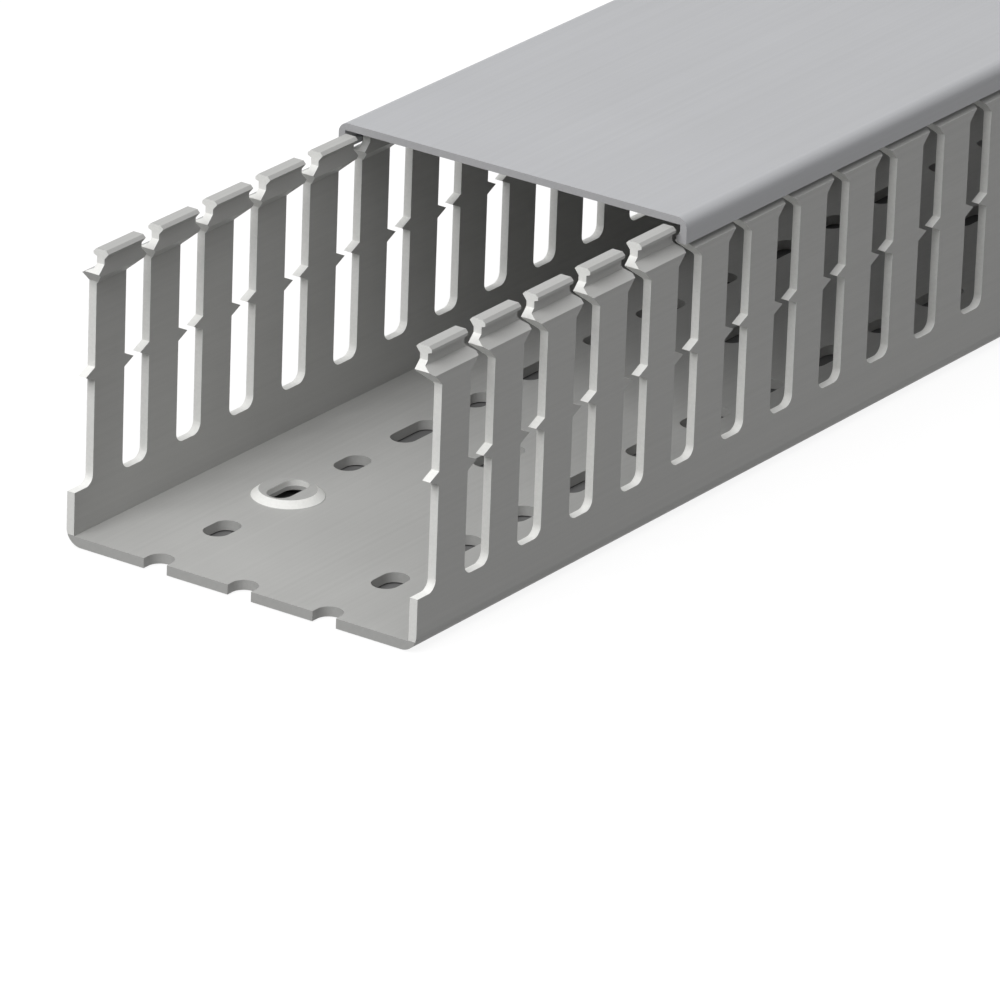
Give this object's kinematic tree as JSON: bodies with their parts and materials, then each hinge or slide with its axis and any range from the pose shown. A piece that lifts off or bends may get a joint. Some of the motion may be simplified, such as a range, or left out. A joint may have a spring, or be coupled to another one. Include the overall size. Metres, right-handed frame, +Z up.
{
  "type": "slotted wire duct",
  "caption": "Slotted wiring duct: a U-shaped trough with fingered walls and a punched floor, and a clip-fit cover that slides along the finger heads.",
  "frame": {"origin": "middle of the base's flat underside, halfway along its length", "axes": "+X along the duct, from the sawn end that shows its inside towards the end under the cover; +Y across it, towards the row with the raised screw seats; +Z up from the underside to the cover"},
  "size_m": [1.0625, 0.06, 0.045],
  "materials": {
    "base_plastic": "light grey rigid PVC, satin, as extruded, with sawn ends",
    "cover_plastic": "light grey rigid PVC, satin, as extruded, a little glossier than the base"
  },
  "bodies": {
    "duct": {"base": "base_plastic"},
    "lid": {"cover": "cover_plastic"}
  },
  "joints": [
    {"name": "cover_slide", "type": "slide", "parent": "duct", "child": "lid", "axis": [1, 0, 0], "range_m": [-0.0625, 0.875]}
  ]
}
